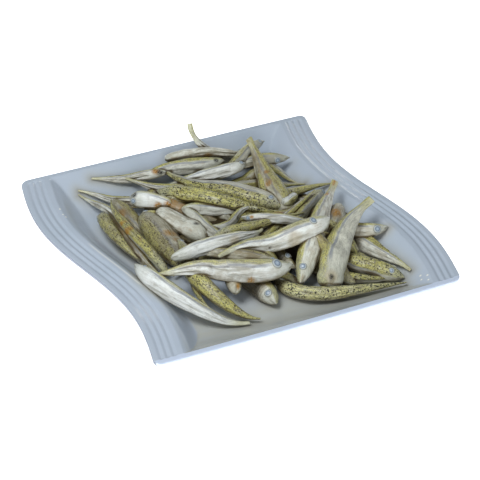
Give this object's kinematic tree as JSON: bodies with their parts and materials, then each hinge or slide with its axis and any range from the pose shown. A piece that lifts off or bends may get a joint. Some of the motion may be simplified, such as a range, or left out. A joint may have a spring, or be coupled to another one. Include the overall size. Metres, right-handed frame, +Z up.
{
  "type": "plate of small fish",
  "caption": "Square white porcelain plate with wavy, ridged side rims, heaped with small raw silvery fish.",
  "frame": {"origin": "on the surface that the plate stands on, under the middle of the plate's outline", "axes": "+X to the right along the plate's straight front edge, between the wavy side rims; +Y from the front lip to the back lip; +Z up"},
  "size_m": [0.27, 0.248, 0.0465],
  "materials": {
    "porcelain": "white glaze, glossy",
    "fish_skin": "wet cream, olive and silver-grey skin"
  },
  "bodies": {
    "root": {"plate": "porcelain", "fish_heap": "fish_skin"}
  },
  "joints": []
}
